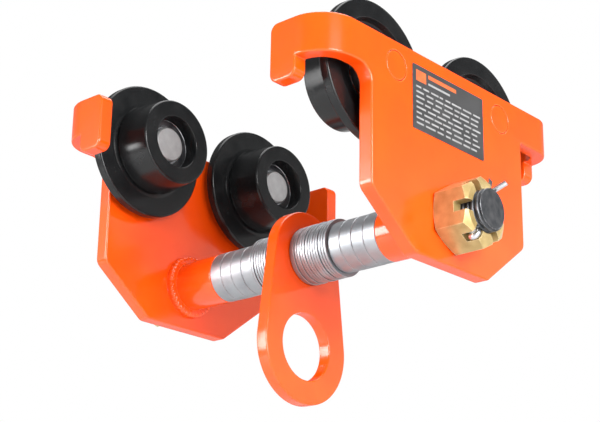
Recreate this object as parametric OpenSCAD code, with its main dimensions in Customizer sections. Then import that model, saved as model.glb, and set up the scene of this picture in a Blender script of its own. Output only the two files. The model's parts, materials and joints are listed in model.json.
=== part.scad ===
// Push trolley for an I-beam: two side plates on a threaded shaft, four flanged wheels
// on ball bearings, and a load plate that hangs from the middle of the shaft.
// +X runs along the shaft, +Y along the beam and +Z up. The origin is midway between
// the wheels, at the height where their treads run on the beam's lower flange.

/* [Side plates] */
// Distance between the inner faces of the two side plates, as set by the spacers
plate_gap = 198; // [190:1:210]
// Thickness of the plates
plate_t = 9; // [6:0.5:10]
// Width of a plate along the beam, without its bumpers
body_w = 140; // [136:1:150]
// Height of a plate's top edge above the wheel axles
plate_rise = 14.6; // [12:0.2:18]
// Height above the shaft at which a plate's sides start to taper
shoulder_rise = 1; // [-4:0.5:6]
// Depth of a plate's foot below the shaft
foot_drop = 27.3; // [25:0.1:32]
// Width of a plate's flat foot
foot_w = 65; // [50:1:80]
// Corner radius of a plate
corner_r = 6; // [3:0.5:8]

/* [Bumpers] */
// Length of a plate over both bumpers
bumper_len = 213.6; // [210:0.2:220]
// Height of the strip that is bent round to make a bumper
strip_h = 22.8; // [20:0.2:26]
// Outer radius of the bend at the front
front_bend_r = 22; // [16:1:22]
// Outer radius of the bend at the rear
rear_bend_r = 16; // [14:1:22]
// How far a bumper reaches in from its plate's outer face
bumper_reach = 40; // [38:1:44]
// How far the end tab hangs below the strip
tab_drop = 11.6; // [6:0.2:14]
// Fillet between the strip and the plate at the front
front_fillet_r = 9; // [4:0.5:10]
// Fillet between the strip and the plate at the rear
rear_fillet_r = 2.5; // [2:0.5:10]

/* [Wheels] */
// Distance between the two axles of one plate
wheel_spread = 97.4; // [94:0.2:104]
// Height of the wheel axles above the shaft
axle_rise = 75.7; // [74:0.1:84]
// Mean radius of the tread
tread_r = 27.5; // [26:0.5:29]
// Change of radius from the middle of the tread to each end
tread_taper = 1; // [0:0.1:1.2]
// Radius of the flange
flange_r = 42.2; // [40:0.2:44]
// Gap between the flange and the side plate
flange_gap = 5; // [4:0.5:6]
// Thickness of the flange
flange_t = 6; // [5:0.5:7]
// Distance from the side plate to the wheel's end face
wheel_end = 35.5; // [34:0.5:38]
// Radius of the recess in the wheel's end face
recess_r = 16.3; // [14:0.1:17]
// Radius of the dish in the back of the flange
dish_r = 31.5; // [26:0.5:34]

/* [Bearings] */
// Radius of the axle's shank and of the bearing's bore
shank_r = 8.5; // [8:0.5:8.5]
// Outer radius of the bearing
bearing_r = 20; // [20:0.5:21]
// Width of the bearing
bearing_w = 12; // [12:0.5:12.5]
// Number of balls in a bearing
ball_n = 8; // [6:1:9]
// Radius of the axle's head
head_r = 10.9; // [9.6:0.1:11.4]
// Thickness of the axle's head
head_t = 3; // [2:0.5:4]

/* [Shaft] */
// Radius of the shaft
shaft_r = 12; // [11.5:0.5:12]
// Length of the shaft
shaft_len = 270; // [266:1:280]
// Outer radius of the welded sleeves and of the thick spacers
sleeve_r = 15.3; // [14.8:0.1:16]
// Outer radius of the weld bead
bead_r = 19.6; // [18:0.2:21]
// Width across the flats of the castle nuts
nut_af = 36; // [34:0.5:38]
// Height of the castle nuts
nut_h = 22.3; // [20:0.1:23]
// Depth of a castle nut's slots
slot_depth = 8.6; // [6:0.2:9]
// Width of a castle nut's slots
slot_w = 6; // [4.5:0.5:7]
// Diameter of the split pins
pin_d = 3.4; // [2.8:0.2:4]

/* [Spacers] */
// Length of a thick spacer
thick_l = 8.6; // [8:0.1:9]
// Number of thick spacers on each side
thick_n = 4; // [3:1:4]
// Thickness of a thin washer
thin_t = 2; // [1.8:0.1:2]
// Outer radius of a thin washer
thin_r = 17.7; // [16.5:0.1:19]
// Number of thin washers left of the load plate
thin_left_n = 12; // [8:1:12]
// Number of thin washers right of the load plate
thin_right_n = 14; // [10:1:14]

/* [Load plate] */
// Thickness of the load plate
load_t = 8; // [6:0.5:8]
// Radius of the load plate round the shaft
load_top_r = 27.5; // [24:0.5:30]
// Distance from the shaft to the centre of the eye
eye_drop = 54.4; // [50:0.2:60]
// Radius of the eye
eye_r = 20; // [16:0.5:22]
// Radius of the load plate round the eye
load_end_r = 34.3; // [32:0.1:38]

/* [Rating label] */
// Width of the label
label_w = 66; // [50:1:70]
// Height of the label
label_h = 38.6; // [30:0.2:39]
// Thickness of the label
label_t = 0.4; // [0.3:0.1:0.8]
// Height of the label's centre above the shaft
label_rise = 63; // [60:0.5:64]
// Distance of the label's centre from the middle of its plate, towards the rear
label_y = -2; // [-3:0.5:2]

/* [Hidden] */
$fn = 96;
LEFT = -1;
RIGHT = 1;
FRONT = -1;
REAR = 1;
axle_z = tread_r;
shaft_z = axle_z - axle_rise;
plate_top = axle_z + plate_rise;
strip_z = plate_top - strip_h;
tab_z = strip_z - tab_drop;
shoulder_z = shaft_z + shoulder_rise;
foot_z = shaft_z - foot_drop;
inner_x = plate_gap / 2;
outer_x = inner_x + plate_t;
tab_x = outer_x - bumper_reach;

// Gap all round the shaft in every hole it passes through, and in the load plate's own hole
fixed_gap = 0.15;
swing_gap = 0.07;
hole_r = shaft_r + fixed_gap;

// Side play left on each side of the load plate, and the seam between two rings
load_play = 0.4;
seam = 0.02;
ring_chamfer = 0.25;
left_stack = thick_n * thick_l + thin_left_n * thin_t;
right_stack = thick_n * thick_l + thin_right_n * thin_t;
stack = left_stack + right_stack + load_t + 2 * load_play;
sleeve_len = (plate_gap - stack) / 2;
left_end = -inner_x + sleeve_len;
right_end = inner_x - sleeve_len;
load_x = left_end + left_stack + load_play;

// Distances from the side plate's inner face along a wheel
flange_back = flange_gap;
flange_front = flange_gap + flange_t;
head_sink = 6.4;
head_end = wheel_end - head_sink;
bearing_end = head_end - head_t;
bearing_start = bearing_end - bearing_w;
clip_t = 1.4;
clip_play = 0.1;
clip_bite = 0.85;
clip_reach = 2.4;
groove_end = bearing_start;
groove_start = groove_end - clip_t - clip_play;
clip_out_r = bearing_r + clip_bite;
clip_in_r = bearing_r - clip_reach;
bush_r = 12;
axle_gap = 0.05;

// Bearing: ball circle, races and cage
pitch_r = (bearing_r + shank_r) / 2;
ball_r = 3.3;
race_r = 3.42;
ring_gap = 4.1;
inner_ring_r = pitch_r - ring_gap / 2;
outer_ring_r = pitch_r + ring_gap / 2;
cage_t = 1.5;
cage_w = 8.4;
shield_t = 0.5;
shield_inset = 0.3;

// Nut and split pin: the pin lies near the mouth of a slot, and both are turned about the shaft
pin_inset = 2.6;
pin_x = outer_x + nut_h - pin_inset;
slot_turn = 1;
pin_turn = 61;
leg_r = pin_d / 2;
pin_hole_r = leg_r + fixed_gap;
pin_exit = shaft_r + 1.5;

// Points of an arc about (cx, cy) from angle a to angle b
function arc(cx, cy, r, a, b, n) =
  [for (i = [0:n]) let (t = a + (b - a) * i / n) [cx + r * cos(t), cy + r * sin(t)]];

// Points of the corner q between p and s, rounded to radius r
function corner(p, q, s, r, n = 8) =
  let (
    u = (p - q) / norm(p - q),
    v = (s - q) / norm(s - q),
    half = acos(u * v) / 2,
    centre = q + (u + v) / norm(u + v) * r / sin(half),
    from = q + u * r / tan(half) - centre,
    to = q + v * r / tan(half) - centre,
    a = atan2(from.y, from.x),
    turn = atan2(from.x * to.y - from.y * to.x, from * to)
  )
  arc(centre.x, centre.y, r, a, a + turn, n);

// A closed outline whose corners are given as [x, y, radius], each one rounded
function rounded(pts) =
  let (n = len(pts))
  [for (i = [0:n - 1])
    let (p = pts[(i + n - 1) % n], q = pts[i], s = pts[(i + 1) % n])
    each q.z == 0 ? [[q.x, q.y]]
      : corner([p.x, p.y], [q.x, q.y], [s.x, s.y], q.z)];

// Turns a shape drawn in (y, z) and extruded upwards so that it stands along +X
module yz_to_x() { rotate([90, 0, 90]) children(); }

// Turns an outline of [radius, distance] points into a body of revolution about X
module turned(outline) { rotate([0, 90, 0]) rotate_extrude() polygon(outline); }

// A plain ring about X, with a small chamfer on all four edges
module ring(r_out, r_in, length, chamfer) {
  turned([
    [r_in + chamfer, 0], [r_out - chamfer, 0], [r_out, chamfer],
    [r_out, length - chamfer], [r_out - chamfer, length],
    [r_in + chamfer, length], [r_in, length - chamfer], [r_in, chamfer]
  ]);
}

// Puts a piece on the right-hand side, or its mirror image on the left-hand side
module on_side(side) {
  if (side == RIGHT) children();
  else mirror([1, 0, 0]) children();
}

// Puts a piece on a wheel axle, with its local +X pointing in from the side plate
module on_axle(side, end) {
  translate([side * inner_x, end * wheel_spread / 2, axle_z])
    rotate([0, 0, side == RIGHT ? 180 : 0])
      children();
}

// ---- Side plates ----

module plate_outline() {
  half = body_w / 2;
  foot = foot_w / 2;
  front_y = bumper_len / 2 - front_bend_r;
  rear_y = bumper_len / 2 - rear_bend_r;
  polygon(rounded([
    [-front_y, plate_top, 0], [rear_y, plate_top, 0], [rear_y, strip_z, 0],
    [half, strip_z, rear_fillet_r], [half, shoulder_z, corner_r],
    [foot, foot_z, corner_r], [-foot, foot_z, corner_r],
    [-half, shoulder_z, corner_r], [-half, strip_z, front_fillet_r],
    [-front_y, strip_z, 0]
  ]));
}

module bumper_end(bend_r) {
  tab_corner_r = 5;
  bend_x = outer_x - bend_r;
  translate([bend_x, bumper_len / 2 - bend_r, 0])
    rotate_extrude(angle = 90)
      translate([bend_r - plate_t, strip_z])
        square([plate_t, strip_h]);
  translate([0, bumper_len / 2, 0])
    rotate([90, 0, 0])
      linear_extrude(plate_t)
        polygon(rounded([
          [tab_x, plate_top, tab_corner_r], [tab_x, tab_z, tab_corner_r],
          [bend_x, tab_z, tab_corner_r], [bend_x, plate_top, 0]
        ]));
}

module side_plate() {
  color("darkorange")
    difference() {
      union() {
        translate([inner_x, 0, 0]) yz_to_x() linear_extrude(plate_t) plate_outline();
        bumper_end(rear_bend_r);
        mirror([0, 1, 0]) bumper_end(front_bend_r);
      }
      for (end = [FRONT, REAR])
        translate([inner_x - 1, end * wheel_spread / 2, axle_z])
          rotate([0, 90, 0])
            cylinder(h = plate_t + 2, r = shank_r + axle_gap);
      translate([inner_x - 1, 0, shaft_z])
        rotate([0, 90, 0])
          cylinder(h = plate_t + 2, r = hole_r);
    }
}

module sleeve() {
  color("darkorange")
    translate([inner_x - sleeve_len, 0, shaft_z])
      ring(sleeve_r, hole_r, sleeve_len, ring_chamfer);
}

module weld_bead() {
  leg = bead_r - sleeve_r;
  bulge = leg * 1.2;
  color("darkorange")
    translate([inner_x, 0, shaft_z])
      rotate([0, -90, 0])
        rotate_extrude()
          polygon(concat(
            [[sleeve_r + seam, 0]],
            arc(bead_r - bulge, leg - bulge, bulge, 10, 80, 6),
            [[sleeve_r + seam, leg]]
          ));
}

// ---- Shaft, nuts and split pins ----

module pin_holes() {
  for (side = [LEFT, RIGHT])
    translate([side * pin_x, 0, 0])
      rotate([pin_turn - 90, 0, 0])
        translate([0, 0, -shaft_r - 1])
          cylinder(h = 2 * shaft_r + 2, r = pin_hole_r, $fn = 32);
}

module suspension_shaft() {
  end_chamfer = 1.6;
  color("dimgray")
    translate([0, 0, shaft_z])
      difference() {
        translate([-shaft_len / 2, 0, 0])
          turned([
            [0, 0], [shaft_r - end_chamfer, 0], [shaft_r, end_chamfer],
            [shaft_r, shaft_len - end_chamfer], [shaft_r - end_chamfer, shaft_len], [0, shaft_len]
          ]);
        pin_holes();
      }
}

module castle_nut() {
  corner_half = nut_af / 2 / cos(30);
  chamfer = 2;
  color("goldenrod")
    translate([outer_x, 0, shaft_z])
      rotate([slot_turn, 0, 0])
        difference() {
          intersection() {
            yz_to_x() rotate([0, 0, 30]) cylinder(h = nut_h, r = corner_half, $fn = 6);
            turned([
              [0, 0], [corner_half + 1, 0], [corner_half + 1, nut_h - 2 * chamfer],
              [nut_af / 2 - chamfer / 2, nut_h], [0, nut_h]
            ]);
          }
          translate([-1, 0, 0]) rotate([0, 90, 0]) cylinder(h = nut_h + 2, r = hole_r);
          for (i = [0:2])
            rotate([60 * i, 0, 0])
              translate([nut_h - slot_depth, -nut_af, -slot_w / 2])
                cube([slot_depth + 1, 2 * nut_af, slot_w]);
        }
}

// One half-round leg of a split pin: straight through the shaft, then bent outwards
module pin_leg(out, tip_len, tip_bend) {
  half_round_cut = 0.05;
  module half_rod(length) {
    difference() {
      cylinder(h = length, r = leg_r, $fn = 32);
      translate([-out * pin_d + out * half_round_cut - pin_d, -pin_d, -1])
        cube([2 * pin_d, 2 * pin_d, length + 2]);
    }
  }
  translate([0, 0, -pin_exit]) half_rod(2 * pin_exit);
  translate([out * half_round_cut, 0, pin_exit])
    rotate([0, tip_bend, 0])
      translate([-out * half_round_cut, 0, 0])
        half_rod(tip_len);
}

module split_pin() {
  loop_r = 2.3;
  loop_gap = 0.1;
  loop_wire_r = 0.85;
  color("silver")
    translate([pin_x, 0, shaft_z])
      rotate([pin_turn - 90, 0, 0]) {
        pin_leg(1, 11, 60);
        pin_leg(-1, 13, -12);
        translate([0, 0, -pin_exit - loop_gap - loop_r])
          rotate([90, 0, 0])
            rotate_extrude($fn = 48)
              translate([loop_r, 0])
                circle(r = loop_wire_r, $fn = 24);
      }
}

// ---- Spacers on the shaft ----

module rings(count, pitch, r_out) {
  for (i = [0:count - 1])
    translate([i * pitch, 0, 0])
      ring(r_out, hole_r, pitch - seam, ring_chamfer);
}

module thick_spacers(start) {
  color("silver") translate([start, 0, shaft_z]) rings(thick_n, thick_l, sleeve_r);
}

module thin_washers(start, count) {
  color("lightgray") translate([start, 0, shaft_z]) rings(count, thin_t, thin_r);
}

// ---- Load plate ----

// Outline of the load plate: two arcs joined by the straight lines that touch both
function load_outline() =
  let (lean = asin((load_end_r - load_top_r) / eye_drop))
  concat(
    arc(0, 0, load_top_r, lean, 180 - lean, 24),
    arc(0, -eye_drop, load_end_r, 180 - lean, 360 + lean, 32)
  );

module load_plate() {
  color("darkorange")
    translate([load_x, 0, shaft_z])
      yz_to_x()
        linear_extrude(load_t)
          difference() {
            polygon(load_outline());
            circle(r = shaft_r + swing_gap);
            translate([0, -eye_drop]) circle(r = eye_r);
          }
}

module rating_label() {
  label_corner_r = 1;
  half_w = label_w / 2;
  half_h = label_h / 2;
  color("dimgray")
    translate([outer_x, label_y, shaft_z + label_rise])
      yz_to_x()
        linear_extrude(label_t)
          polygon(rounded([
            for (c = [[-1, -1], [1, -1], [1, 1], [-1, 1]])
              [c.x * half_w, c.y * half_h, label_corner_r]
          ]));
}

// ---- Wheels, drawn with +X pointing in from the side plate's inner face ----

module wheel() {
  edge = 0.6;
  root_w = 2;
  root_r = tread_r - tread_taper;
  big_r = tread_r + tread_taper;
  end_r = tread_r - tread_taper;
  round_r = 1.4;
  root_depth = 0.8;
  dish_depth = 3.5;
  dish_floor = flange_back + dish_depth;
  color("#202224")
    turned(concat(
      [
        [dish_r, flange_back], [flange_r - edge, flange_back], [flange_r, flange_back + edge],
        [flange_r, flange_front - edge], [flange_r - edge, flange_front],
        [big_r + 2 * root_depth, flange_front], [root_r, flange_front + root_depth],
        [root_r, flange_front + root_w], [big_r, flange_front + root_w + edge]
      ],
      arc(end_r - round_r, wheel_end - round_r, round_r, 0, 90, 5),
      [
        [recess_r + edge, wheel_end], [recess_r, wheel_end - edge],
        [recess_r, bearing_end], [bearing_r, bearing_end],
        [bearing_r, groove_end], [clip_out_r + 0.1, groove_end],
        [clip_out_r + 0.1, groove_start], [bearing_r, groove_start],
        [bearing_r, dish_floor + edge], [bearing_r + edge, dish_floor],
        [dish_r - 1.5, dish_floor]
      ]
    ));
}

module axle() {
  head_chamfer = 0.8;
  r = shank_r - axle_gap;
  color("lightgray")
    turned([
      [0, -plate_t], [r, -plate_t], [r, bearing_end - seam], [head_r, bearing_end - seam],
      [head_r, head_end - head_chamfer], [head_r - head_chamfer, head_end], [0, head_end]
    ]);
}

module bush() {
  color("silver") ring(bush_r, shank_r, bearing_start - seam, ring_chamfer);
}

// The bearing's rings are plain rings cut by the race that its balls run in
module inner_ring() {
  color("silver")
    translate([bearing_start, 0, 0])
      difference() {
        ring(inner_ring_r, shank_r, bearing_w - 2 * seam, ring_chamfer);
        ball_race();
      }
}

module outer_ring() {
  color("silver")
    translate([bearing_start, 0, 0])
      difference() {
        ring(bearing_r - seam, outer_ring_r, bearing_w - 2 * seam, ring_chamfer);
        ball_race();
      }
}

module ball_race() {
  translate([bearing_w / 2, 0, 0])
    rotate([0, 90, 0])
      rotate_extrude()
        translate([pitch_r, 0])
          circle(r = race_r, $fn = 48);
}

// The places of the balls round the bearing, seen from a ball
module each_ball() {
  for (i = [0:ball_n - 1])
    translate([bearing_start + bearing_w / 2, 0, 0])
      rotate([360 * i / ball_n, 0, 0])
        translate([0, pitch_r, 0])
          children();
}

module balls() {
  color("white") each_ball() sphere(r = ball_r, $fn = 48);
}

module cage() {
  pocket_gap = 0.12;
  color("peru")
    difference() {
      translate([bearing_start + (bearing_w - cage_w) / 2, 0, 0])
        turned([
          [pitch_r - cage_t / 2, 0], [pitch_r + cage_t / 2, 0],
          [pitch_r + cage_t / 2, cage_w], [pitch_r - cage_t / 2, cage_w]
        ]);
      each_ball()
        rotate([90, 0, 0])
          cylinder(h = 3 * cage_t, r = ball_r + pocket_gap, center = true, $fn = 48);
    }
}

module shields() {
  side_gap = 0.25;
  far = bearing_end - shield_inset - shield_t;
  color("gray")
    for (start = [bearing_start + shield_inset, far])
      translate([start, 0, 0])
        ring(outer_ring_r - axle_gap, inner_ring_r + side_gap, shield_t, 0.05);
}

module circlip() {
  opening = 24;
  lug_r = 2.4;
  lug_hole_r = 1;
  lug_turn = opening / 2 + 6;
  color("darkgray")
    translate([groove_start + 0.05, 0, 0])
      yz_to_x()
        linear_extrude(clip_t)
          difference() {
            union() {
              difference() {
                circle(r = clip_out_r);
                circle(r = clip_in_r);
                polygon([
                  [0, 0],
                  for (t = [-opening / 2, opening / 2])
                    [2 * clip_out_r * cos(t), 2 * clip_out_r * sin(t)]
                ]);
              }
              for (s = [-1, 1])
                rotate(s * lug_turn) translate([clip_in_r - 0.6, 0]) circle(r = lug_r, $fn = 32);
            }
            for (s = [-1, 1])
              rotate(s * lug_turn) translate([clip_in_r - 0.8, 0]) circle(r = lug_hole_r, $fn = 24);
          }
}

// ---- The assembly ----

on_side(LEFT) side_plate();  // side_plate_left
on_side(RIGHT) side_plate();  // side_plate_right
on_side(LEFT) sleeve();  // sleeve_left
on_side(RIGHT) sleeve();  // sleeve_right
on_side(LEFT) weld_bead();  // weld_bead_left
on_side(RIGHT) weld_bead();  // weld_bead_right
suspension_shaft();
on_side(LEFT) castle_nut();  // castle_nut_left
on_side(RIGHT) castle_nut();  // castle_nut_right
on_side(LEFT) split_pin();  // split_pin_left
on_side(RIGHT) split_pin();  // split_pin_right
thick_spacers(left_end);  // thick_spacers_left
thick_spacers(right_end - thick_n * thick_l);  // thick_spacers_right
thin_washers(left_end + thick_n * thick_l, thin_left_n);  // thin_washers_left
thin_washers(right_end - right_stack, thin_right_n);  // thin_washers_right
load_plate();
rating_label();
on_axle(LEFT, FRONT) axle();  // axle_left_front
on_axle(LEFT, REAR) axle();  // axle_left_rear
on_axle(RIGHT, FRONT) axle();  // axle_right_front
on_axle(RIGHT, REAR) axle();  // axle_right_rear
on_axle(LEFT, FRONT) bush();  // bush_left_front
on_axle(LEFT, REAR) bush();  // bush_left_rear
on_axle(RIGHT, FRONT) bush();  // bush_right_front
on_axle(RIGHT, REAR) bush();  // bush_right_rear
on_axle(LEFT, FRONT) inner_ring();  // inner_ring_left_front
on_axle(LEFT, REAR) inner_ring();  // inner_ring_left_rear
on_axle(RIGHT, FRONT) inner_ring();  // inner_ring_right_front
on_axle(RIGHT, REAR) inner_ring();  // inner_ring_right_rear
on_axle(LEFT, FRONT) balls();  // balls_left_front
on_axle(LEFT, REAR) balls();  // balls_left_rear
on_axle(RIGHT, FRONT) balls();  // balls_right_front
on_axle(RIGHT, REAR) balls();  // balls_right_rear
on_axle(LEFT, FRONT) cage();  // cage_left_front
on_axle(LEFT, REAR) cage();  // cage_left_rear
on_axle(RIGHT, FRONT) cage();  // cage_right_front
on_axle(RIGHT, REAR) cage();  // cage_right_rear
on_axle(LEFT, FRONT) outer_ring();  // outer_ring_left_front
on_axle(LEFT, REAR) outer_ring();  // outer_ring_left_rear
on_axle(RIGHT, FRONT) outer_ring();  // outer_ring_right_front
on_axle(RIGHT, REAR) outer_ring();  // outer_ring_right_rear
on_axle(LEFT, FRONT) shields();  // shields_left_front
on_axle(LEFT, REAR) shields();  // shields_left_rear
on_axle(RIGHT, FRONT) shields();  // shields_right_front
on_axle(RIGHT, REAR) shields();  // shields_right_rear
on_axle(LEFT, FRONT) circlip();  // circlip_left_front
on_axle(LEFT, REAR) circlip();  // circlip_left_rear
on_axle(RIGHT, FRONT) circlip();  // circlip_right_front
on_axle(RIGHT, REAR) circlip();  // circlip_right_rear
on_axle(LEFT, FRONT) wheel();  // wheel_left_front
on_axle(LEFT, REAR) wheel();  // wheel_left_rear
on_axle(RIGHT, FRONT) wheel();  // wheel_right_front
on_axle(RIGHT, REAR) wheel();  // wheel_right_rear
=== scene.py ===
import json
import math
import random
import bmesh
import bpy
from mathutils import Matrix, Vector
from mathutils.geometry import tessellate_polygon


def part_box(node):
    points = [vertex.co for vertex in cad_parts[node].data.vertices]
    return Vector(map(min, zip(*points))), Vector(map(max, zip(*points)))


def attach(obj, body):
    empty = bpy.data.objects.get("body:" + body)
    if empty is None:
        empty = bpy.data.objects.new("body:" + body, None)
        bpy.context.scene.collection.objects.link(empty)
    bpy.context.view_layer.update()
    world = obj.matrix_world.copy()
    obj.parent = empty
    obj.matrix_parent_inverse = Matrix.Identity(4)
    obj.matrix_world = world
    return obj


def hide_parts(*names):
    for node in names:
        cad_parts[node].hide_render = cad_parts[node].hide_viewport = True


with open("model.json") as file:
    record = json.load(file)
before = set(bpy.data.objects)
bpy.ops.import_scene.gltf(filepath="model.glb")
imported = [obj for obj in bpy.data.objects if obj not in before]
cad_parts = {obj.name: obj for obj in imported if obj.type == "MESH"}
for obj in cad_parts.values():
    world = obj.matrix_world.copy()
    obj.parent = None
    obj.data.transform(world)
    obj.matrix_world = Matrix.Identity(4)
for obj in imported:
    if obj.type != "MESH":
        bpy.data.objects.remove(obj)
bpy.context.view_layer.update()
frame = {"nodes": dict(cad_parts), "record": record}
MM = 0.001
RIGHT, LEFT = 1, -1
SIDES = {"right": RIGHT, "left": LEFT}
ENDS = {"front": -1, "rear": 1}

# ---- Sizes, in metres, taken from the frame ----

plate_low, plate_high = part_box("side_plate_right")
sleeve_low, sleeve_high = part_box("sleeve_right")
shaft_low, shaft_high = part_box("suspension_shaft")
wheel_low, wheel_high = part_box("wheel_right_front")
axle_low, axle_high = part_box("axle_right_front")
nut_low, nut_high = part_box("castle_nut_right")
bead_low, bead_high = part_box("weld_bead_right")

OUTER_X = plate_high.x
INNER_X = sleeve_high.x
PLATE_T = OUTER_X - INNER_X
PLATE_TOP = plate_high.z
FOOT_Z = plate_low.z
SHAFT_Z = (shaft_low.z + shaft_high.z) / 2
SHAFT_R = (shaft_high.z - shaft_low.z) / 2
AXLE_Y = -(wheel_low.y + wheel_high.y) / 2
AXLE_Z = (wheel_low.z + wheel_high.z) / 2
FLANGE_R = (wheel_high.z - wheel_low.z) / 2
SLEEVE_R = (sleeve_high.z - sleeve_low.z) / 2
BEAD_R = (bead_high.z - bead_low.z) / 2
BEAD_LEG = bead_high.x - bead_low.x

# ---- Sizes of the side plates that no box shows ----

BODY_HALF = 70 * MM
FOOT_HALF = 32.5 * MM
PLATE_CORNER = 6 * MM
TAB_CORNER = 5 * MM
TAB_INNER_CORNER = 0.4 * MM
FRONT_FILLET = 9 * MM
REAR_FILLET = 2.5 * MM
PLATE_RIM = 1.1 * MM
AXLE_HOLE_R = 8.75 * MM
AXLE_HOLE_RIM = 0.35 * MM
SHAFT_HOLE_RIM = 0.5 * MM
SHAFT_PLAY = 0.2 * MM
SHOULDER_Z = SHAFT_Z + 1 * MM
STRIP_Z = PLATE_TOP - 22.8 * MM
TAB_Z = STRIP_Z - 11.6 * MM
BUMPER_Y = plate_high.y
BEND_RADII = {ENDS["front"]: 22 * MM, ENDS["rear"]: 16 * MM}
BEND_STEPS = 14


# ---- Materials ----

def add_node(tree, kind, values=None, **settings):
    """A shader node with its settings, and each input set to a number or linked to a socket."""
    made = tree.nodes.new(kind)
    for key, value in settings.items():
        setattr(made, key, value)
    for key, value in (values or {}).items():
        if isinstance(value, bpy.types.NodeSocket):
            tree.links.new(value, made.inputs[key])
        else:
            made.inputs[key].default_value = value
    return made


def noise(tree, coords, scale, detail=3.0, rough=0.5):
    values = {"Vector": coords, "Scale": scale, "Detail": detail, "Roughness": rough}
    return add_node(tree, "ShaderNodeTexNoise", values).outputs["Fac"]


def noise_along(tree, distance, scale, detail=3.0):
    """Noise that changes along one distance only, as a lathe tool's marks do."""
    values = {"W": distance, "Scale": scale, "Detail": detail}
    return add_node(tree, "ShaderNodeTexNoise", values, noise_dimensions="1D").outputs["Fac"]


def remap(tree, value, low, high, out_low=0.0, out_high=1.0):
    values = {"Value": value, "From Min": low, "From Max": high, "To Min": out_low, "To Max": out_high}
    return add_node(tree, "ShaderNodeMapRange", values).outputs["Result"]


def math_node(tree, operation, first, second):
    return add_node(tree, "ShaderNodeMath", {0: first, 1: second}, operation=operation).outputs[0]


def mix_colour(tree, amount, first, second):
    made = add_node(tree, "ShaderNodeMix", data_type="RGBA")
    for socket, value in ((0, amount), (6, first), (7, second)):
        if isinstance(value, bpy.types.NodeSocket):
            tree.links.new(value, made.inputs[socket])
        elif socket == 0:
            made.inputs[socket].default_value = value
        else:
            made.inputs[socket].default_value = (*value, 1)
    return made.outputs[2]


def edge_mask(tree, radius):
    """1 on sharp outside edges and 0 on open faces."""
    rounded_normal = add_node(tree, "ShaderNodeBevel", {"Radius": radius}, samples=4).outputs[0]
    true_normal = add_node(tree, "ShaderNodeNewGeometry").outputs["Normal"]
    values = {0: rounded_normal, 1: true_normal}
    facing = add_node(tree, "ShaderNodeVectorMath", values, operation="DOT_PRODUCT").outputs["Value"]
    return remap(tree, facing, 0.97, 0.8)


def turning_marks(tree, coords, faces):
    """The lathe tool's marks on a turned piece whose own +X axis is its centre line."""
    parts = add_node(tree, "ShaderNodeSeparateXYZ", {0: coords}).outputs
    along = noise_along(tree, parts[0], 2600)
    if not faces:
        return along
    squares = [math_node(tree, "MULTIPLY", parts[axis], parts[axis]) for axis in (1, 2)]
    radius = math_node(tree, "SQRT", math_node(tree, "ADD", *squares), 0.0)
    return math_node(tree, "ADD", along, noise_along(tree, radius, 1900))


def make_finish(name, colour, second, rough, metallic=0.0, cloud=60, grain=1500, depth=4e-6,
                turned=0.0, faced=True, edge_wear_and_highlight=None, edge_wear_and_highlight_radius=0.0006, edge_wear_and_highlight_share=0.5,
                coat=0.0, coat_rough=0.1, wave=0, wave_depth=0.0, specular=0.5):
    """A procedural finish: clouds of two colours, uneven gloss, grain, turning marks and lighter edges:
    rubbed edges on most finishes, a painted highlight on the orange paint.
    """
    material = bpy.data.materials.new(name)
    material.use_nodes = True
    tree = material.node_tree
    shader = tree.nodes["Principled BSDF"]
    coords = add_node(tree, "ShaderNodeTexCoord").outputs["Object"]
    clouds = remap(tree, noise(tree, coords, cloud, 4.0), 0.35, 0.65)
    paint = mix_colour(tree, clouds, colour, second)
    fine = noise(tree, coords, grain, 4.0, 0.6)
    gloss = math_node(tree, "ADD", remap(tree, clouds, 0, 1, rough[0], rough[1]),
                      remap(tree, fine, 0.3, 0.7, -0.03, 0.03))
    height = math_node(tree, "MULTIPLY", fine, depth)
    if turned:
        marks = turning_marks(tree, coords, faced)
        height = math_node(tree, "ADD", height, math_node(tree, "MULTIPLY", marks, turned))
    if wave:
        swell = math_node(tree, "MULTIPLY", noise(tree, coords, wave, 1.0), wave_depth)
        height = math_node(tree, "ADD", height, swell)
    # Lighter edges: rubbed edges on most finishes; on the orange paint, a painted highlight along nearly
    # every edge.
    if edge_wear_and_highlight:
        threshold = 0.62 - edge_wear_and_highlight_share * 0.3
        broken = remap(tree, noise(tree, coords, 500, 5.0, 0.7), threshold, threshold + 0.1)
        edge_wear_and_highlight_mask = math_node(tree, "MULTIPLY", edge_mask(tree, edge_wear_and_highlight_radius), broken)
        paint = mix_colour(tree, edge_wear_and_highlight_mask, paint, edge_wear_and_highlight)
    bump = add_node(tree, "ShaderNodeBump", {"Height": height, "Distance": 1.0, "Strength": 1.0}).outputs[0]
    tree.links.new(paint, shader.inputs["Base Color"])
    tree.links.new(gloss, shader.inputs["Roughness"])
    tree.links.new(bump, shader.inputs["Normal"])
    shader.inputs["Metallic"].default_value = metallic
    shader.inputs["Specular IOR Level"].default_value = specular
    if coat:
        shader.inputs["Coat Weight"].default_value = coat
        shader.inputs["Coat Roughness"].default_value = coat_rough
        tree.links.new(bump, shader.inputs["Coat Normal"])
    return material


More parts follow.
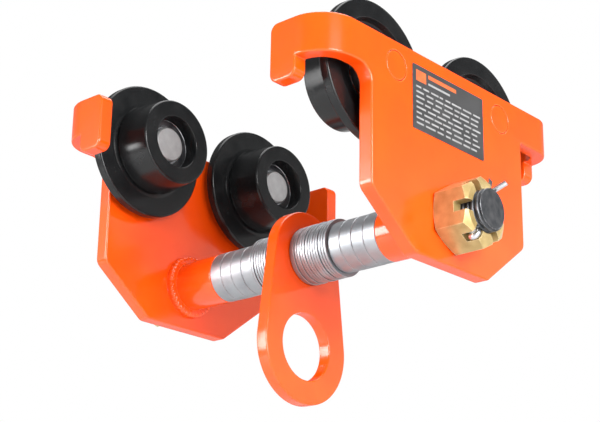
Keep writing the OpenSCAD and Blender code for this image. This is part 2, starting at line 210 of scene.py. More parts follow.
FINISH = {
    # The orange paint's lighter edge colour is a painted highlight on nearly all its edges, not rubbed
    # paint.
    "orange_paint": make_finish(
        "orange_paint", (0.92, 0.082, 0.003), (0.88, 0.07, 0.002), (0.16, 0.22), cloud=35,
        grain=2500, depth=1.2e-6, edge_wear_and_highlight=(0.98, 0.2, 0.05), edge_wear_and_highlight_radius=0.0012, edge_wear_and_highlight_share=1.3,
        coat=0.2, coat_rough=0.06, wave=330, wave_depth=1.6e-5),
    "wheel_black": make_finish(
        "wheel_black", (0.006, 0.0065, 0.007), (0.01, 0.0105, 0.011), (0.18, 0.26), cloud=80,
        grain=1800, depth=2e-6, turned=6e-6, edge_wear_and_highlight=(0.3, 0.31, 0.32), edge_wear_and_highlight_radius=0.0007,
        edge_wear_and_highlight_share=0.25, specular=0.3),
    "bare_steel": make_finish(
        "bare_steel", (0.62, 0.62, 0.62), (0.53, 0.53, 0.535), (0.4, 0.52), 0.85, cloud=150,
        grain=1600, depth=4e-6, turned=5e-6, edge_wear_and_highlight=(0.75, 0.75, 0.75), edge_wear_and_highlight_share=0.8),
    "zinc": make_finish(
        "zinc", (0.36, 0.375, 0.395), (0.29, 0.305, 0.325), (0.38, 0.48), 0.9, cloud=90,
        grain=1400, depth=1e-6, turned=4e-6, faced=False, edge_wear_and_highlight=(0.8, 0.81, 0.82), edge_wear_and_highlight_share=0.7),
    "yellow_zinc": make_finish(
        "yellow_zinc", (0.5, 0.37, 0.16), (0.36, 0.25, 0.09), (0.32, 0.46), 0.4, cloud=110,
        grain=1200, depth=4e-6, edge_wear_and_highlight=(0.9, 0.78, 0.5), edge_wear_and_highlight_share=0.8),
    "black_oxide": make_finish(
        "black_oxide", (0.05, 0.054, 0.06), (0.1, 0.1, 0.105), (0.3, 0.45), 0.7, cloud=240,
        grain=1500, depth=6e-6, turned=1.2e-5, edge_wear_and_highlight=(0.35, 0.35, 0.36), edge_wear_and_highlight_share=0.6),
    "pin_steel": make_finish(
        "pin_steel", (0.68, 0.69, 0.7), (0.55, 0.56, 0.58), (0.22, 0.36), 1.0, cloud=300,
        grain=2200, depth=3e-6, edge_wear_and_highlight=(0.85, 0.85, 0.85), edge_wear_and_highlight_share=0.7),
    "bearing_steel": make_finish(
        "bearing_steel", (0.5, 0.51, 0.53), (0.4, 0.41, 0.43), (0.18, 0.3), 1.0, cloud=200,
        grain=2400, depth=1e-6, edge_wear_and_highlight=(0.75, 0.75, 0.76), edge_wear_and_highlight_share=0.4),
    "spring_steel": make_finish(
        "spring_steel", (0.07, 0.07, 0.075), (0.11, 0.11, 0.115), (0.35, 0.5), 0.8, cloud=220,
        grain=1800, depth=3e-6, edge_wear_and_highlight=(0.4, 0.4, 0.42), edge_wear_and_highlight_share=0.6),
    "cage_brass": make_finish(
        "cage_brass", (0.68, 0.47, 0.2), (0.55, 0.36, 0.14), (0.28, 0.4), 1.0, cloud=240,
        grain=1800, depth=2e-6, edge_wear_and_highlight=(0.85, 0.7, 0.4), edge_wear_and_highlight_share=0.5),
    "label_grey": make_finish(
        "label_grey", (0.035, 0.035, 0.036), (0.045, 0.045, 0.046), (0.36, 0.46), cloud=60,
        grain=1600, depth=3e-6, edge_wear_and_highlight=(0.2, 0.2, 0.2), edge_wear_and_highlight_share=0.4),
    "print": make_finish(
        "label_print", (0.3, 0.3, 0.3), (0.24, 0.24, 0.24), (0.45, 0.55), cloud=200,
        grain=1600, depth=2e-6),
    "print_red": make_finish(
        "label_print_red", (0.62, 0.12, 0.03), (0.52, 0.09, 0.025), (0.45, 0.55), cloud=200,
        grain=1600, depth=2e-6),
}


# ---- Making pieces ----

WELD_GAP = 0.002 * MM


def face_outwards(mesh):
    """Turns a closed mesh's faces so that they all look out of the solid."""
    shell = bmesh.new()
    shell.from_mesh(mesh)
    bmesh.ops.recalc_face_normals(shell, faces=shell.faces)
    shell.to_mesh(mesh)
    shell.free()


def new_piece(name, mesh, finish, body, *nodes, place=(0, 0, 0), sharp=38, finishes=(), slot=None):
    """A named piece of the object that rides on a CAD body and stands for some CAD nodes.

    The slot argument is not used.
    """
    face_outwards(mesh)
    mesh.shade_smooth()
    mesh.set_sharp_from_angle(angle=math.radians(sharp))
    made = bpy.data.objects.new(name, mesh)
    bpy.context.scene.collection.objects.link(made)
    made.location = place
    made.data.materials.append(FINISH[finish])
    for extra in finishes:
        made.data.materials.append(FINISH[extra])
    weighted = made.modifiers.new("Even shading", "WEIGHTED_NORMAL")
    weighted.keep_sharp = True
    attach(made, body)
    if nodes:
        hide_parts(*nodes)
    return made


def mesh_from(name, verts, faces):
    mesh = bpy.data.meshes.new(name)
    mesh.from_pydata(verts, [], faces)
    return mesh


def arc(centre, radius, start, turn, steps):
    points = []
    for i in range(steps + 1):
        angle = start + turn * i / steps
        points.append(centre + radius * Vector((math.cos(angle), math.sin(angle))))
    return points


def rounded_corner(before, corner, after, radius, steps=6):
    """The corner's points when it is rounded to the radius."""
    u, v = (before - corner).normalized(), (after - corner).normalized()
    half = u.angle(v) / 2
    centre = corner + (u + v).normalized() * radius / math.sin(half)
    start = corner + u * radius / math.tan(half) - centre
    end = corner + v * radius / math.tan(half) - centre
    turn = math.atan2(start.x * end.y - start.y * end.x, start.dot(end))
    return arc(centre, radius, math.atan2(start.y, start.x), turn, steps)


def rounded(corners, closed=True, steps=6):
    """An outline of (x, y, radius) corners, each one rounded to its radius."""
    points = [Vector(c[:2]) for c in corners]
    outline = []
    for i, corner in enumerate(points):
        end = not closed and i in (0, len(points) - 1)
        if corners[i][2] == 0 or end:
            outline.append(corner)
        else:
            after = points[(i + 1) % len(points)]
            outline += rounded_corner(points[i - 1], corner, after, corners[i][2], steps)
    return outline


def circle_outline(centre, radius, steps=64, hole=False):
    """Points round a circle: anticlockwise for an outline, clockwise for a hole."""
    turn = -2 * math.pi if hole else 2 * math.pi
    return arc(Vector(centre), radius, 0, turn, steps)[:-1]


def moved_in(loop, distance):
    """The loop moved into the solid by the distance."""
    moved = []
    for i, point in enumerate(loop):
        before = point - loop[i - 1]
        after = loop[(i + 1) % len(loop)] - point
        first = Vector((-before.y, before.x)).normalized()
        second = Vector((-after.y, after.x)).normalized()
        moved.append(point + (first + second) / (1 + first.dot(second)) * distance)
    return moved


def slab(loops, rims, thickness, steps=4):
    """A flat plate in x and y with rounded rims, its depth along z. The first loop is the outline."""
    verts, faces, caps = [], [], ([], [])
    for loop, rim in zip(loops, rims):
        levels = []
        for i in range(steps + 1):
            angle = math.pi / 2 * i / steps
            levels.append((rim * (1 - math.sin(angle)), rim * (1 - math.cos(angle))))
        levels += [(inset, thickness - depth) for inset, depth in reversed(levels)]
        start, n = len(verts), len(loop)
        for inset, depth in levels:
            verts += [(p.x, p.y, depth) for p in moved_in(loop, inset)]
        for level in range(len(levels) - 1):
            low = start + level * n
            for i in range(n):
                j = (i + 1) % n
                faces.append((low + i, low + j, low + n + j, low + n + i))
        caps[0].append(range(start, start + n))
        caps[1].append(range(len(verts) - n, len(verts)))
    for cap in caps:
        index = [i for loop in cap for i in loop]
        filled = tessellate_polygon([[Vector(verts[i]) for i in loop] for loop in cap])
        faces += [tuple(index[i] for i in triangle) for triangle in filled]
    return verts, faces


def turned(profile, closed, steps=128, first_angle=0.0):
    """A body turned about x from (radius, x) points. An open profile starts and ends on the axis."""
    verts, faces, rings = [], [], []
    for radius, x in profile:
        if radius < 1e-9:
            rings.append([len(verts)] * steps)
            verts.append((x, 0, 0))
            continue
        rings.append(range(len(verts), len(verts) + steps))
        for i in range(steps):
            angle = first_angle + 2 * math.pi * i / steps
            verts.append((x, radius * math.cos(angle), radius * math.sin(angle)))
    pairs = list(zip(rings, rings[1:]))
    if closed:
        pairs.append((rings[-1], rings[0]))
    for low, high in pairs:
        for i in range(steps):
            j = (i + 1) % steps
            corners = dict.fromkeys((low[i], low[j], high[j], high[i]))
            faces.append(tuple(corners))
    return verts, faces


def ring_profile(inner, outer, start, length, edge):
    """A ring's section with its outside edges rounded."""
    end = start + length
    corners = [(inner, start, 0), (outer, start, edge), (outer, end, edge), (inner, end, 0)]
    return rounded(corners, steps=3)


def add_part(verts, faces, part, shift=(0, 0, 0)):
    """Adds another part's points and faces to a mesh in the making."""
    start = len(verts)
    verts += [tuple(Vector(v) + Vector(shift)) for v in part[0]]
    faces += [tuple(start + i for i in f) for f in part[1]]


def carved(name, base, cutters):
    """The base mesh after each (operation, mesh) cutter has been applied to it."""
    body = bpy.data.objects.new(name, base)
    bpy.context.scene.collection.objects.link(body)
    tools = []
    for operation, mesh in cutters:
        tool = bpy.data.objects.new(name + "_cutter", mesh)
        bpy.context.scene.collection.objects.link(tool)
        tools.append(tool)
        step = body.modifiers.new("Cut", "BOOLEAN")
        step.object = tool
        step.operation = operation
        step.solver = "EXACT"
    done = bpy.data.meshes.new_from_object(body.evaluated_get(bpy.context.evaluated_depsgraph_get()))
    for spare in [body, *tools]:
        bpy.data.objects.remove(spare)
    shell = bmesh.new()
    shell.from_mesh(done)
    bmesh.ops.remove_doubles(shell, verts=shell.verts, dist=WELD_GAP)
    bmesh.ops.dissolve_degenerate(shell, edges=shell.edges, dist=WELD_GAP)
    shell.to_mesh(done)
    shell.free()
    return done


# ---- Side plates ----

def bend_at(end):
    """The radius of an end's bend, where it starts along the plate, and how long it is."""
    radius = BEND_RADII[end]
    return radius, BUMPER_Y - radius, radius * math.pi / 2


def bent(side, s, z, depth):
    """Where a point of the flat plate goes: s along it, and depth below its outer face."""
    radius, start, length = bend_at(math.copysign(1, s))
    bend_x, past = OUTER_X - radius, abs(s) - start
    if past <= 0:
        x, y = OUTER_X - depth, abs(s)
    elif past < length:
        angle = past / radius
        x = bend_x + (radius - depth) * math.cos(angle)
        y = start + (radius - depth) * math.sin(angle)
    else:
        x, y = bend_x - (past - length), BUMPER_Y - depth
    return Vector((side * x, math.copysign(y, s), z))


def half_outline(end, fillet):
    """The flat plate's corners on one half, from the tab's tip down to the foot."""
    radius, start, length = bend_at(end)
    tab_s = start + length
    tab_end = tab_s + OUTER_X - radius - plate_low.x
    corners = [
        (tab_end, PLATE_TOP, TAB_CORNER), (tab_end, TAB_Z, TAB_CORNER), (tab_s, TAB_Z, TAB_CORNER),
        (tab_s, STRIP_Z, TAB_INNER_CORNER), (BODY_HALF, STRIP_Z, fillet),
        (BODY_HALF, SHOULDER_Z, PLATE_CORNER), (FOOT_HALF, FOOT_Z, PLATE_CORNER),
    ]
    return [(end * s, z, r) for s, z, r in corners]


def side_plate(word):
    """A plate cut flat with its bumpers, its rims rounded, and then bent at both ends."""
    side = SIDES[word]
    rear = half_outline(ENDS["rear"], REAR_FILLET)
    front = half_outline(ENDS["front"], FRONT_FILLET)
    outline = rounded(list(reversed(rear)) + front, steps=8)
    axle_holes = [circle_outline((end * AXLE_Y, AXLE_Z), AXLE_HOLE_R, hole=True) for end in ENDS.values()]
    shaft_hole = circle_outline((0, SHAFT_Z), SHAFT_R + SHAFT_PLAY, hole=True)
    rims = [PLATE_RIM, AXLE_HOLE_RIM, AXLE_HOLE_RIM, SHAFT_HOLE_RIM]
    verts, faces = slab([outline, *axle_holes, shaft_hole], rims, PLATE_T)
    flat = bmesh.new()
    flat.from_mesh(mesh_from("flat", verts, faces))
    for end in ENDS.values():
        _, start, length = bend_at(end)
        for i in range(BEND_STEPS + 1):
            s = end * (start + length * i / BEND_STEPS)
            geometry = flat.verts[:] + flat.edges[:] + flat.faces[:]
            bmesh.ops.bisect_plane(flat, geom=geometry, plane_co=(s, 0, 0), plane_no=(1, 0, 0))
    for v in flat.verts:
        v.co = bent(side, *v.co)
    mesh = bpy.data.meshes.new("side_plate_" + word)
    flat.to_mesh(mesh)
    flat.free()
    new_piece(f"side_plate_{word}_painted", mesh, "orange_paint", "frame", f"side_plate_{word}")


# ---- Sleeves and weld beads ----

SLEEVE_EDGE = 0.7 * MM
SLEEVE_SINK = 0.5 * MM


def sleeve(word):
    """A tube from the side plate inwards, sunk a little into the plate so that no gap shows."""
    side = SIDES[word]
    inner_end = side * sleeve_low.x
    length = side * (INNER_X + SLEEVE_SINK - sleeve_low.x)
    corners = [
        (SHAFT_R + SHAFT_PLAY, inner_end, 0), (SLEEVE_R, inner_end, SLEEVE_EDGE),
        (SLEEVE_R, inner_end + length, 0), (SHAFT_R + SHAFT_PLAY, inner_end + length, 0),
    ]
    mesh = mesh_from("sleeve", *turned(rounded(corners, steps=4), True, 96))
    place = (0, 0, SHAFT_Z)
    new_piece(f"sleeve_{word}_painted", mesh, "orange_paint", "frame", f"sleeve_{word}", place=place)


WELD_RIPPLES = 38
WELD_SINK = 0.3 * MM
WELD_PROUD = 0.8 * MM


def weld_bead(word):
    """A fillet weld laid round the sleeve in small overlapping ripples, with one stop mark."""
    side, draw = SIDES[word], random.Random(7)
    around, across, ripples = 360, 12, WELD_RIPPLES
    stop_angle = math.pi
    verts, faces = [], []
    wander = [draw.uniform(-1, 1) for _ in range(ripples + 1)]
    for i in range(around):
        angle = 2 * math.pi * i / around
        from_stop = math.remainder(angle - stop_angle, 2 * math.pi)
        crater = math.exp(-(from_stop / 0.13) ** 2)
        lump = math.exp(-((from_stop - 0.3) / 0.16) ** 2)
        for j in range(across + 1):
            t = j / across
            phase = angle / (2 * math.pi) * ripples - 0.9 * math.sin(math.pi * t)
            which = int(math.floor(phase)) % ripples
            size = 1 + 0.12 * wander[which] + 0.25 * lump - 0.35 * crater
            scallop = abs(math.sin(math.pi * phase)) ** 0.5
            bulge = (0.6 * size + 0.34 * scallop) * math.sin(math.pi * t) * (BEAD_R - SLEEVE_R) * 0.5
            radius = SLEEVE_R + (BEAD_R - SLEEVE_R) * t
            depth = BEAD_LEG * (1 - t)
            radius += bulge * 0.9
            depth += bulge * 0.9
            radius = min(radius, BEAD_R + WELD_PROUD)
            x = side * (INNER_X - depth)
            verts.append((x, radius * math.cos(angle), radius * math.sin(angle)))
    for i in range(around):
        for j in range(across):
            a, b = i * (across + 1) + j, (i + 1) % around * (across + 1) + j
            faces.append((a, a + 1, b + 1, b))
    start = len(verts)
    corner_x, corner_r = side * (INNER_X + WELD_SINK), SLEEVE_R - WELD_SINK
    for i in range(around):
        angle = 2 * math.pi * i / around
        verts.append((corner_x, corner_r * math.cos(angle), corner_r * math.sin(angle)))
    for i in range(around):
        j = (i + 1) % around
        faces.append((i * (across + 1), start + i, start + j, j * (across + 1)))
        faces.append((i * (across + 1) + across, start + i, start + j, j * (across + 1) + across))
    mesh = mesh_from("weld_bead", verts, faces)
    place = (0, 0, SHAFT_Z)
    new_piece(f"weld_bead_{word}_painted", mesh, "orange_paint", "frame", f"weld_bead_{word}", place=place)


# ---- Shaft, nuts and split pins ----

THREAD_PITCH = 3 * MM
THREAD_DEPTH = 1.6 * MM
THREAD_START = 110 * MM
THREAD_GAP = 0.05 * MM
SHAFT_CHAMFER = 0.7 * MM


def suspension_shaft():
    """A round bar with a thread at both ends and small chamfers round its end faces."""
    around = 96
    end_x, step = shaft_high.x, THREAD_PITCH / 14
    stations = int((end_x - THREAD_START) / step)
    verts, faces, rings = [], [], []

    def add_ring(x, radius_at):
        rings.append(len(verts))
        for i in range(around):
            angle = 2 * math.pi * i / around
            radius = radius_at(angle)
            verts.append((x, radius * math.cos(angle), radius * math.sin(angle)))

    def thread_radius(x, angle):
        turn = (x / THREAD_PITCH - angle / (2 * math.pi)) % 1
        ridge = min(max(abs(turn - 0.5) * 3.0 - 0.35, 0), 1)
        run_in = min((abs(x) - THREAD_START) / THREAD_PITCH, 1)
        limit = SHAFT_R - SHAFT_CHAMFER + (end_x - abs(x)) * 1.1
        return min(SHAFT_R - THREAD_GAP - THREAD_DEPTH * ridge * run_in, limit)

    places = [end_x - (end_x - THREAD_START) * i / stations for i in range(stations + 1)]
    for x in [-p for p in places] + list(reversed(places)):
        add_ring(x, lambda angle, x=x: thread_radius(x, angle))
    for low, high in zip(rings, rings[1:]):
        for i in range(around):
            j = (i + 1) % around
            faces.append((low + i, low + j, high + j, high + i))
    for rim in (rings[0], rings[-1]):
        faces.append(tuple(range(rim, rim + around)))
    mesh = mesh_from("suspension_shaft", verts, faces)
    new_piece("suspension_shaft_threaded", mesh, "black_oxide", "frame", "suspension_shaft",
              place=(0, 0, SHAFT_Z), sharp=50)


NUT_AF = 36 * MM
NUT_H = nut_high.x - nut_low.x
SLOT_W = 6 * MM
SLOT_DEPTH = 8.6 * MM
SLOT_TURN = math.radians(1)
NUT_CHAMFER = 2.9 * MM
NUT_BASE_LEAN = 1.6 * MM
NUT_EDGE = 0.35 * MM


def turned_mesh(profile, steps=128):
    return mesh_from("turned", *turned([Vector(p) for p in profile], False, steps))


def castle_nut(word):
    """A hexagon nut with chamfered corners, six slots and a bore with a countersink.

    It is carved square to the axes and turned to its real angle afterwards, because the
    cuts fail at small angles.
    """
    side = SIDES[word]
    half = NUT_AF / 2
    corner = half / math.cos(math.pi / 6)
    sides = 6
    hexagon = []
    for x in (0, NUT_H):
        for i in range(sides):
            angle = math.pi / 6 + 2 * math.pi * i / sides
            hexagon.append((x, corner * math.cos(angle), corner * math.sin(angle)))
    faces = [tuple(range(sides)), tuple(range(sides, 2 * sides))]
    faces += [(i, (i + 1) % sides, sides + (i + 1) % sides, sides + i) for i in range(sides)]
    past_corner = corner + 0.2 * MM
    cone = [
        (0, 0), (half - 0.6 * MM, 0), (past_corner, NUT_BASE_LEAN),
        (past_corner, NUT_H - NUT_CHAMFER), (half - 1.4 * MM, NUT_H), (0, NUT_H),
    ]
    bore = SHAFT_R - 0.15 * MM
    sink = [
        (0, -MM), (SHAFT_R + 1.1 * MM, -MM), (bore, 1.4 * MM), (bore, NUT_H - 1.2 * MM),
        (SHAFT_R + 1.3 * MM, NUT_H + MM), (0, NUT_H + MM),
    ]
    cutters = [("INTERSECT", turned_mesh(cone)), ("DIFFERENCE", turned_mesh(sink))]
    for i in range(sides):
        turn = Matrix.Rotation(math.pi / 3 * i, 3, "X")
        corners = [
            turn @ Vector((x, y, z))
            for x in (NUT_H - SLOT_DEPTH, NUT_H + 2 * MM)
            for y in (5 * MM, NUT_AF)
            for z in (-SLOT_W / 2, SLOT_W / 2)
        ]
        box = [(0, 1, 3, 2), (4, 5, 7, 6), (0, 1, 5, 4), (2, 3, 7, 6), (0, 2, 6, 4), (1, 3, 7, 5)]
        cutters.append(("DIFFERENCE", mesh_from("slot", corners, box)))
    base = mesh_from("castle_nut_" + word, hexagon, faces)
    for mesh in [base] + [m for _, m in cutters]:
        face_outwards(mesh)
    mesh = carved("castle_nut_" + word, base, cutters)
    real_angle = Matrix.Rotation(SLOT_TURN, 3, "X")
    for v in mesh.vertices:
        v.co = real_angle @ v.co
        v.co.x *= side
    place = (side * nut_low.x, 0, SHAFT_Z)
    made = new_piece(f"castle_nut_{word}_slotted", mesh, "yellow_zinc", "frame", f"castle_nut_{word}",
                     place=place, sharp=25)
    bevel = made.modifiers.new("Broken edges", "BEVEL")
    bevel.width = NUT_EDGE
    bevel.segments = 2
    bevel.limit_method = "ANGLE"
    bevel.angle_limit = math.radians(28)
    bevel.harden_normals = False
    made.modifiers.move(1, 0)


PIN_D = 3.4 * MM
PIN_TURN = math.radians(61)
PIN_EXIT = SHAFT_R + 1.5 * MM
PIN_X = nut_high.x - 2.6 * MM
PIN_SPLIT = 0.05 * MM
EYE_R = 2.2 * MM
EYE_LEAN = math.radians(40)


def bend_path(path, turn, radius, length, steps=6):
    """Goes on from a path's last point: round a bend by the turn, then straight for the length."""
    direction = (path[-1] - path[-2]).normalized()
    for i in range(steps):
        half = turn / steps / 2
        chord = 2 * radius * math.sin(abs(half))
        step = Matrix.Rotation(half, 2) @ direction
        path.append(path[-1] + step * chord)
        direction = Matrix.Rotation(half * 2, 2) @ direction
    path.append(path[-1] + direction * length)
    return path


def split_pin(word):
    """Half-round wire folded back on itself: an eye at one end and two bent legs at the other."""
    side = SIDES[word]
    outer_leg = [Vector((PIN_SPLIT, -PIN_EXIT)), Vector((PIN_SPLIT, PIN_EXIT))]
    bend_path(outer_leg, math.radians(-60), 2.5 * MM, 9.5 * MM)
    inner_leg = [Vector((-PIN_SPLIT, -PIN_EXIT)), Vector((-PIN_SPLIT, PIN_EXIT))]
    bend_path(inner_leg, math.radians(12), 4 * MM, 12.5 * MM)
    centre = Vector((0, -PIN_EXIT - EYE_R * 1.25))
    eye = arc(centre, EYE_R, math.pi / 2 - EYE_LEAN, -(2 * math.pi - 2 * EYE_LEAN), 22)
    path = list(reversed(outer_leg)) + eye + inner_leg
    half_turns = [math.pi * i / 10 for i in range(11)]
    section = [(PIN_D / 2 * math.sin(a), PIN_D / 2 * math.cos(a)) for a in half_turns]
    verts, faces = [], []
    turn = Matrix.Rotation(PIN_TURN - math.pi / 2, 3, "X")
    for i, point in enumerate(path):
        before, after = path[max(i - 1, 0)], path[min(i + 1, len(path) - 1)]
        along = (after - before).normalized()
        out = Vector((-along.y, along.x))
        for outward, across in section:
            flat = point + out * outward
            local = turn @ Vector((flat.x, across, flat.y))
            verts.append((side * local.x, local.y, local.z))
    count = len(section)
    for i in range(len(path) - 1):
        for j in range(count):
            k = (j + 1) % count
            faces.append((i * count + j, i * count + k, (i + 1) * count + k, (i + 1) * count + j))
    faces += [tuple(range(count)), tuple(range(len(verts) - count, len(verts)))]
    mesh = mesh_from("split_pin_" + word, verts, faces)
    new_piece(f"split_pin_{word}_folded", mesh, "pin_steel", "frame", f"split_pin_{word}",
              place=(side * PIN_X, 0, SHAFT_Z), sharp=50)


# ---- Spacers ----

THICK_RING = {"edge": 0.4 * MM, "seam": 0.12 * MM, "play": 0.12 * MM}
THIN_WASHER = {"edge": 0.25 * MM, "seam": 0.34 * MM, "play": 0.35 * MM}
RING_BORE_GAP = 0.6 * MM


def spacer_stack(node, count, seed, edge, seam, play):
    """Rings side by side on the shaft, each sitting a little off centre on it."""
    low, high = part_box(node)
    outer, pitch = (high.z - low.z) / 2, (high.x - low.x) / count
    draw, verts, faces = random.Random(seed), [], []
    for i in range(count):
        profile = ring_profile(SHAFT_R + RING_BORE_GAP, outer - play, seam / 2, pitch - seam, edge)
        angle = draw.uniform(0, 2 * math.pi)
        slip = draw.uniform(0.2, 1) * play
        shift = (low.x + i * pitch, slip * math.cos(angle), slip * math.sin(angle))
        add_part(verts, faces, turned(profile, True, 96, angle), shift)
    mesh = mesh_from(node, verts, faces)
    new_piece(f"{node}_loose", mesh, "zinc", "frame", node, place=(0, 0, SHAFT_Z))


# ---- Load plate ----

LOAD_EYE_R = 20 * MM
LOAD_RIM = 1.0 * MM
LOAD_EYE_RIM = 0.9 * MM
LOAD_BORE_RIM = 0.4 * MM
LOAD_BORE_GAP = 0.3 * MM


def load_plate():
    """A plate between two round ends, with the shaft through its top and an eye in its bottom."""
    low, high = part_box("load_plate")
    top_r, end_r = high.z - SHAFT_Z, (high.y - low.y) / 2
    drop = SHAFT_Z - low.z - end_r
    lean = math.asin((end_r - top_r) / drop)
    outline = arc(Vector((0, SHAFT_Z)), top_r, lean, math.pi - 2 * lean, 48)
    outline += arc(Vector((0, SHAFT_Z - drop)), end_r, math.pi - lean, math.pi + 2 * lean, 72)
    eye = circle_outline((0, SHAFT_Z - drop), LOAD_EYE_R, 96, hole=True)
    bore = circle_outline((0, SHAFT_Z), SHAFT_R + LOAD_BORE_GAP, 64, hole=True)
    rims = [LOAD_RIM, LOAD_EYE_RIM, LOAD_BORE_RIM]
    verts, faces = slab([outline, eye, bore], rims, high.x - low.x)
    verts = [(low.x + depth, y, z - SHAFT_Z) for y, z, depth in verts]
    mesh = mesh_from("load_plate", verts, faces)
    new_piece("load_plate_painted", mesh, "orange_paint", "load_plate", "load_plate", place=(0, 0, SHAFT_Z))


# ---- Rating label ----

LABEL_MARGIN = 3 * MM
LABEL_ROW_GAP = 3.1 * MM
LABEL_ROWS = 8
LABEL_BAR_H = 1.1 * MM
LABEL_HEADER = 13.5 * MM
PRINT_PROUD = 0.03 * MM


def rating_label():
    """A plain label with bars and blocks where its print would be."""
    low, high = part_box("rating_label")
    middle, half_w, half_h = (low + high) / 2, (high.y - low.y) / 2, (high.z - low.z) / 2
    corners = [(-half_w, -half_h, MM), (half_w, -half_h, MM), (half_w, half_h, MM), (-half_w, half_h, MM)]
    thickness = high.x - low.x
    verts, faces = slab([rounded(corners)], [0.1 * MM], thickness, 2)
    verts = [(thickness - depth, y, z) for y, z, depth in verts]
    place = (low.x, middle.y, middle.z)
    mesh = mesh_from("rating_label", verts, faces)
    new_piece("rating_label_sheet", mesh, "label_grey", "frame", "rating_label", place=place)
    draw, verts, faces = random.Random(3), [], []

    def bar(left, bottom, width, height):
        right, top = left + width, bottom + height
        shape = [(left, bottom, 0), (right, bottom, 0), (right, top, 0), (left, top, 0)]
        bar_verts, bar_faces = slab([rounded(shape)], [0.01 * MM], PRINT_PROUD, 1)
        add_part(verts, faces, ([(thickness + PRINT_PROUD - d, y, z) for y, z, d in bar_verts], bar_faces))

    first = -half_w + LABEL_MARGIN
    bar(first, half_h - 9.5 * MM, 9 * MM, 6.5 * MM)
    bar(first + 11 * MM, half_h - 5.4 * MM, 26 * MM, 2.4 * MM)
    red_faces = len(faces)
    bar(first + 11 * MM, half_h - 9.2 * MM, 20 * MM, 1.3 * MM)
    for row in range(LABEL_ROWS):
        left, bottom = first, half_h - LABEL_HEADER - row * LABEL_ROW_GAP
        while left < half_w - 8 * MM:
            width = draw.uniform(3, 9) * MM
            bar(left, bottom, min(width, half_w - LABEL_MARGIN - left), LABEL_BAR_H)
            left += width + draw.uniform(1, 2.6) * MM
    mesh = mesh_from("rating_label_print", verts, faces)
    made = new_piece("rating_label_print", mesh, "print", "frame", place=place,
                     finishes=["print_red"], slot="label_grey")
    for face in list(made.data.polygons)[:red_faces]:
        face.material_index = 1


# ---- Wheels and axles ----

FLANGE_BACK = INNER_X - wheel_high.x
FLANGE_T = 6 * MM
WHEEL_END = INNER_X - wheel_low.x
TREAD_R = AXLE_Z
TAPER = 1 * MM
RECESS_R = 16.3 * MM
BEARING_R = 20 * MM
BEARING_W = 12 * MM
DISH_R = 31.5 * MM
DISH_DEPTH = 3.5 * MM
HEAD_END = INNER_X - axle_low.x
BEARING_END = HEAD_END - 3 * MM
BEARING_START = BEARING_END - BEARING_W


def wheel_profile():
    """The wheel's section as (radius, distance in from the side plate, fillet) corners."""
    front = FLANGE_BACK + FLANGE_T
    floor = FLANGE_BACK + DISH_DEPTH
    groove = 1.5 * MM
    return [
        (DISH_R, FLANGE_BACK, 0.5 * MM), (FLANGE_R, FLANGE_BACK, 1.1 * MM), (FLANGE_R, front, 1.3 * MM),
        (TREAD_R + TAPER + 1.8 * MM, front, 0.4 * MM), (TREAD_R - 0.7 * MM, front + 0.7 * MM, 0.4 * MM),
        (TREAD_R - 0.7 * MM, front + 1.9 * MM, 0.4 * MM), (TREAD_R + TAPER, front + 2.6 * MM, 0.4 * MM),
        (TREAD_R - TAPER, WHEEL_END, 1.5 * MM), (RECESS_R, WHEEL_END, 0.7 * MM),
        (RECESS_R, BEARING_END, 0), (BEARING_R, BEARING_END, 0), (BEARING_R, BEARING_START, 0),
        (BEARING_R + 0.95 * MM, BEARING_START, 0), (BEARING_R + 0.95 * MM, BEARING_START - groove, 0),
        (BEARING_R, BEARING_START - groove, 0), (BEARING_R, floor, 0.5 * MM),
        (DISH_R - 1.5 * MM, floor, 1.2 * MM),
    ]


def turned_on_axle(profile, closed, side, steps=128):
    """Turns a section whose distances are measured in from the side plate's inner face."""
    outline = rounded(profile, closed=closed, steps=5)
    return turned([(p.x, -side * p.y) for p in outline], closed, steps)


def wheel(word, end):
    side = SIDES[word]
    mesh = mesh_from("wheel", *turned_on_axle(wheel_profile(), True, side))
    place = (side * INNER_X, ENDS[end] * AXLE_Y, AXLE_Z)
    name = f"wheel_{word}_{end}"
    new_piece(name + "_turned", mesh, "wheel_black", name, name, place=place, sharp=30)


SHANK_R = 8.45 * MM
STUD_INSET = 0.1 * MM


def axle(word, end):
    """A headed stud whose outer end is flush with the side plate and painted over with it."""
    side = SIDES[word]
    head = (axle_high.z - axle_low.z) / 2
    profile = [
        (0, STUD_INSET - PLATE_T, 0), (SHANK_R, STUD_INSET - PLATE_T, 0.5 * MM), (SHANK_R, BEARING_END, 0),
        (head, BEARING_END, 0.3 * MM), (head, HEAD_END - 0.9 * MM, 0.2 * MM),
        (head - 0.9 * MM, HEAD_END, 0.2 * MM), (0, HEAD_END, 0),
    ]
    mesh = mesh_from("axle", *turned_on_axle(profile, False, side, 96))
    place = (side * INNER_X, ENDS[end] * AXLE_Y, AXLE_Z)
    node = f"axle_{word}_{end}"
    made = new_piece(node + "_stud", mesh, "bare_steel", "frame", node, place=place,
                     finishes=["orange_paint"])
    for face in made.data.polygons:
        if side * face.center.x > 0:
            face.material_index = 1


# ---- Building the object ----

for word in SIDES:
    side_plate(word)
    sleeve(word)
    weld_bead(word)
    castle_nut(word)
    split_pin(word)
    for end in ENDS:
        wheel(word, end)
        axle(word, end)

suspension_shaft()
load_plate()
rating_label()
spacer_stack("thick_spacers_left", 4, 11, **THICK_RING)
spacer_stack("thick_spacers_right", 4, 12, **THICK_RING)
spacer_stack("thin_washers_left", 12, 13, **THIN_WASHER)
spacer_stack("thin_washers_right", 14, 14, **THIN_WASHER)

NODE_SLOTS = {s["node"]: s["material_slot"] for s in frame["record"]["subparts"]}
for name, cad in frame["nodes"].items():
    cad.data.materials.clear()
    cad.data.materials.append(FINISH[NODE_SLOTS[name]])


# ---- Floor, light and camera ----

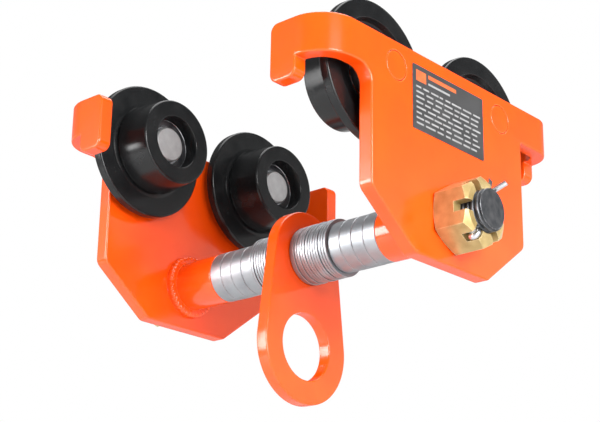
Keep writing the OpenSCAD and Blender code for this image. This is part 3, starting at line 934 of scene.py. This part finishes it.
def plain_material(name, colour):
    material = bpy.data.materials.new(name)
    material.use_nodes = True
    tree = material.node_tree
    coords = add_node(tree, "ShaderNodeTexCoord").outputs["Object"]
    tone = remap(tree, noise(tree, coords, 3.0), 0.3, 0.7)
    tree.links.new(mix_colour(tree, tone, colour, [c * 0.97 for c in colour]),
                   tree.nodes["Principled BSDF"].inputs["Base Color"])
    tree.nodes["Principled BSDF"].inputs["Roughness"].default_value = 0.9
    return material


FLOOR_HALF = 6.0
FLOOR_Z = -0.45


def floor():
    """A pale floor well below the trolley, because the camera looks up at it from below."""
    half, z = FLOOR_HALF, FLOOR_Z
    corners = [(-half, -half, z), (half, -half, z), (half, half, z), (-half, half, z)]
    mesh = mesh_from("floor", corners, [(0, 1, 2, 3)])
    made = bpy.data.objects.new("floor", mesh)
    bpy.context.scene.collection.objects.link(made)
    mesh.materials.append(plain_material("floor_white", (0.85, 0.85, 0.85)))


def sky():
    """White to the camera. Everything else sees a pale horizon under a dark ceiling."""
    world = bpy.data.worlds.new("studio")
    world.use_nodes = True
    tree = world.node_tree
    coords = add_node(tree, "ShaderNodeTexCoord").outputs["Generated"]
    height = add_node(tree, "ShaderNodeSeparateXYZ", {0: coords}).outputs[2]
    horizon = remap(tree, height, 0.3, 0.4, 1.0, 0.16)
    seen = add_node(tree, "ShaderNodeLightPath").outputs["Is Camera Ray"]
    strength = math_node(tree, "MAXIMUM", horizon, seen)
    tree.links.new(strength, tree.nodes["Background"].inputs["Strength"])
    tree.nodes["Background"].inputs["Color"].default_value = (1, 1, 1, 1)
    bpy.context.scene.world = world


def soft_light(name, place, size, power):
    light = bpy.data.lights.new(name, "AREA")
    light.shape = "RECTANGLE"
    light.size, light.size_y = size
    light.energy = power
    made = bpy.data.objects.new(name, light)
    bpy.context.scene.collection.objects.link(made)
    made.location = place
    made.rotation_euler = (-Vector(place)).to_track_quat("-Z", "Y").to_euler()


def camera():
    """The viewpoint is low and to the right of the trolley, looking up at it."""
    right = Vector((0.745144, 0.666715, 0.015850))
    up = Vector((0.212535, -0.259930, 0.941948))
    back = -Vector((-0.632131, 0.698518, 0.335386))
    made = bpy.data.objects.new("camera", bpy.data.cameras.new("camera"))
    bpy.context.scene.collection.objects.link(made)
    turn = Matrix((right, up, back)).transposed().to_4x4()
    made.matrix_world = Matrix.Translation((0.56563, -0.63057, -0.32037)) @ turn
    made.data.sensor_width = 36
    made.data.lens = 89.88
    made.data.clip_start = 0.01
    bpy.context.scene.camera = made


floor()
sky()
soft_light("top_box", (0.1, 0.2, 1.7), (1.6, 1.6), 32)
soft_light("left_box", (-0.7, -1.3, 0.12), (0.75, 0.75), 24)
soft_light("right_box", (1.4, -0.4, 0.15), (0.75, 0.75), 33)
camera()
bpy.context.scene.view_settings.view_transform = "Standard"
